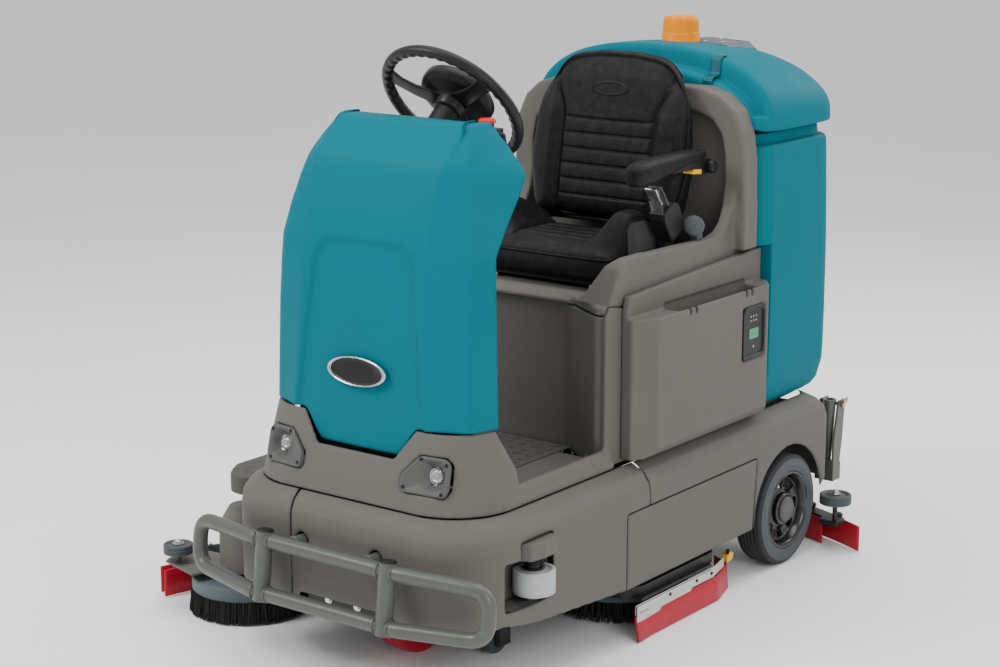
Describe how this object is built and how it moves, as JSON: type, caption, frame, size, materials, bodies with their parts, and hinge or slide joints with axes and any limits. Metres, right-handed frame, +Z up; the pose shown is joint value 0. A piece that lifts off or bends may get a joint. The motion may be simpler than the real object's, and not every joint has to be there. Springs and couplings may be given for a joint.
{
  "type": "ride-on floor scrubber",
  "caption": "Ride-on floor scrubber with a driver seat, steering cowl, bumper, tanks, disc scrub head, side brush and rear squeegee.",
  "frame": {"origin": "on the floor under the centre of the front drive wheel", "axes": "+Z up, -Y is the driving direction, +X is the driver's left"},
  "size_m": [1.3585, 1.8703, 1.5274],
  "materials": {
    "teal": "moulded, satin",
    "grey": "moulded, fine texture",
    "dark": "moulded",
    "frame_paint": "powder coat",
    "black_paint": "powder coat",
    "badge": "polished",
    "bezel": "moulded",
    "lens": "clear",
    "amber": "ribbed",
    "steel": "zinc plated",
    "red_urethane": "moulded",
    "tyre_grey": "solid, non-marking",
    "white_roller": "moulded",
    "grey_roller": "moulded",
    "vinyl": "grained vinyl",
    "mat": "studded",
    "red_button": "glossy",
    "bristle": "bristle",
    "battery": "moulded"
  },
  "bodies": {
    "chassis": {"chassis_frame": "black_paint", "lower_body_front": "grey", "front_access_panel": "grey", "lower_body_rear": "grey", "upper_body": "grey", "step_mat": "mat", "front_cowl": "teal", "cowl_badge": "badge", "headlight_bezels": "bezel", "headlight_lenses": "lens", "side_step": "mat", "bumper_tube": "frame_paint", "roller_bracket": "grey", "console_panel": "dark", "steering_column": "dark", "pod_left": "grey", "pod_right": "grey", "charger_panel": "dark", "batteries": "battery", "recovery_tank": "teal", "rear_brackets": "frame_paint"},
    "corner_roller": {"corner_roller": "white_roller"},
    "support_left": {"support_wheel_left": "grey_roller"},
    "support_right": {"support_wheel_right": "grey_roller"},
    "drive_yoke": {"drive_unit": "black_paint"},
    "drive_wheel": {"drive_wheel": "red_urethane"},
    "steering": {"steering_wheel": "dark"},
    "lever": {"direction_lever": "dark"},
    "key": {"key_switch": "dark"},
    "estop": {"estop_button": "red_button"},
    "propel": {"propel_pedal": "mat"},
    "brake": {"brake_pedal": "mat"},
    "deck": {"seat_deck": "grey", "seat_rails": "steel"},
    "seat": {"seat_frame": "black_paint", "seat_cushion": "vinyl", "belt_reel": "dark"},
    "backrest": {"seat_back": "vinyl"},
    "armrest": {"armrest_left": "vinyl"},
    "door_l": {"door_left": "grey"},
    "door_r": {"door_right": "grey"},
    "lid": {"tank_lid": "teal", "beacon_base": "grey", "beacon_lens": "amber"},
    "rear_wheel_l": {"rear_tyre_left": "tyre_grey", "rear_hub_left": "dark"},
    "rear_wheel_r": {"rear_tyre_right": "tyre_grey", "rear_hub_right": "dark"},
    "scrub_head": {"scrub_deck": "black_paint", "side_squeegees": "red_urethane"},
    "disc_l": {"disc_brush_left": "bristle"},
    "disc_r": {"disc_brush_right": "bristle"},
    "side_arm": {"side_brush_arm": "grey", "side_blade": "red_urethane"},
    "side_disc": {"side_brush": "bristle"},
    "side_roller": {"side_roller": "grey_roller"},
    "squeegee": {"squeegee_casting": "black_paint", "squeegee_blades": "red_urethane"},
    "squeegee_roller_l": {"squeegee_roller_left": "grey_roller"},
    "squeegee_roller_r": {"squeegee_roller_right": "grey_roller"}
  },
  "joints": [
    {"name": "corner_roller_spin", "type": "hinge", "parent": "chassis", "child": "corner_roller", "pos_m": [0.41, -0.054, 0.285], "axis": [0, 0, 1], "continuous": true},
    {"name": "support_left_spin", "type": "hinge", "parent": "chassis", "child": "support_left", "pos_m": [0.177, 0.092, 0.042], "axis": [1, 0, 0], "continuous": true},
    {"name": "support_right_spin", "type": "hinge", "parent": "chassis", "child": "support_right", "pos_m": [-0.177, 0.092, 0.042], "axis": [1, 0, 0], "continuous": true},
    {"name": "steering_turn", "type": "hinge", "parent": "chassis", "child": "steering", "pos_m": [0, 0.158, 1.373], "axis": [0, 0.766, 0.6428], "range_deg": [-220, 220]},
    {"name": "drive_yaw", "type": "hinge", "parent": "chassis", "child": "drive_yoke", "pos_m": [0, 0, 0.3], "axis": [0, 0, 1], "range_deg": [-75.5, 75.5]},
    {"name": "drive_spin", "type": "hinge", "parent": "drive_yoke", "child": "drive_wheel", "pos_m": [0, 0, 0.1265], "axis": [1, 0, 0], "continuous": true},
    {"name": "lever_throw", "type": "hinge", "parent": "chassis", "child": "lever", "pos_m": [0, 0.11204, 1.33443], "axis": [0, 0.766, 0.6428], "range_deg": [-12, 12]},
    {"name": "key_turn", "type": "hinge", "parent": "chassis", "child": "key", "pos_m": [-0.15, 0.06, 1.3], "axis": [0, 1, 0], "range_deg": [0, 60]},
    {"name": "estop_press", "type": "slide", "parent": "chassis", "child": "estop", "axis": [0, 0, -1], "range_m": [0, 0.006], "stiffness_N_per_m": 900},
    {"name": "propel_press", "type": "hinge", "parent": "chassis", "child": "propel", "pos_m": [-0.12, 0.098, 0.5], "axis": [1, 0, 0], "range_deg": [0, 12], "stiffness_Nm_per_rad": 25},
    {"name": "brake_press", "type": "hinge", "parent": "chassis", "child": "brake", "pos_m": [0.02, 0.098, 0.5], "axis": [1, 0, 0], "range_deg": [0, 12], "stiffness_Nm_per_rad": 30},
    {"name": "deck_tilt", "type": "hinge", "parent": "chassis", "child": "deck", "pos_m": [-0.369, 0.7, 0.935], "axis": [0, -1, 0], "range_deg": [0, 60]},
    {"name": "seat_slide", "type": "slide", "parent": "deck", "child": "seat", "axis": [0, -1, 0], "range_m": [0, 0.12]},
    {"name": "backrest_angle", "type": "hinge", "parent": "seat", "child": "backrest", "pos_m": [0, 0.855, 0.985], "axis": [1, 0, 0], "range_deg": [0, 5]},
    {"name": "armrest_lift", "type": "hinge", "parent": "backrest", "child": "armrest", "pos_m": [0.284, 0.88, 1.16], "axis": [-1, 0, 0], "range_deg": [0, 80]},
    {"name": "door_left_open", "type": "hinge", "parent": "chassis", "child": "door_l", "pos_m": [0.4265, 0.327, 0.25], "axis": [0, 0, -1], "range_deg": [0, 100]},
    {"name": "door_right_open", "type": "hinge", "parent": "chassis", "child": "door_r", "pos_m": [-0.4265, 0.327, 0.25], "axis": [0, 0, 1], "range_deg": [0, 100]},
    {"name": "lid_open", "type": "hinge", "parent": "chassis", "child": "lid", "pos_m": [0, 1.436, 1.252], "axis": [-1, 0, 0], "range_deg": [0, 70]},
    {"name": "rear_left_spin", "type": "hinge", "parent": "chassis", "child": "rear_wheel_l", "pos_m": [0.3815, 1.146, 0.1585], "axis": [1, 0, 0], "continuous": true},
    {"name": "rear_right_spin", "type": "hinge", "parent": "chassis", "child": "rear_wheel_r", "pos_m": [-0.3815, 1.146, 0.1585], "axis": [1, 0, 0], "continuous": true},
    {"name": "scrub_lift", "type": "slide", "parent": "chassis", "child": "scrub_head", "axis": [0, 0, 1], "range_m": [0, 0.04]},
    {"name": "disc_left_spin", "type": "hinge", "parent": "scrub_head", "child": "disc_l", "pos_m": [0.205, 0.6, 0.07], "axis": [0, 0, 1], "continuous": true},
    {"name": "disc_right_spin", "type": "hinge", "parent": "scrub_head", "child": "disc_r", "pos_m": [-0.205, 0.6, 0.07], "axis": [0, 0, 1], "continuous": true},
    {"name": "side_arm_lift", "type": "hinge", "parent": "chassis", "child": "side_arm", "pos_m": [-0.268, 0.06, 0.13], "axis": [0, 1, 0], "range_deg": [0, 6]},
    {"name": "side_brush_spin", "type": "hinge", "parent": "side_arm", "child": "side_disc", "pos_m": [-0.55, -0.035, 0.09], "axis": [0, 0, 1], "continuous": true},
    {"name": "side_roller_spin", "type": "hinge", "parent": "side_arm", "child": "side_roller", "pos_m": [-0.701, -0.146, 0.163], "axis": [0, 0, 1], "continuous": true},
    {"name": "squeegee_lift", "type": "hinge", "parent": "chassis", "child": "squeegee", "pos_m": [0, 1.36, 0.215], "axis": [1, 0, 0], "range_deg": [0, 12]},
    {"name": "squeegee_roller_left_spin", "type": "hinge", "parent": "squeegee", "child": "squeegee_roller_l", "pos_m": [0.484, 1.314, 0.161], "axis": [0, 0, 1], "continuous": true},
    {"name": "squeegee_roller_right_spin", "type": "hinge", "parent": "squeegee", "child": "squeegee_roller_r", "pos_m": [-0.484, 1.314, 0.161], "axis": [0, 0, 1], "continuous": true}
  ],
  "couplings": [
    {"joint": "drive_yaw", "follows": "steering_turn", "ratio": 0.34091}
  ]
}
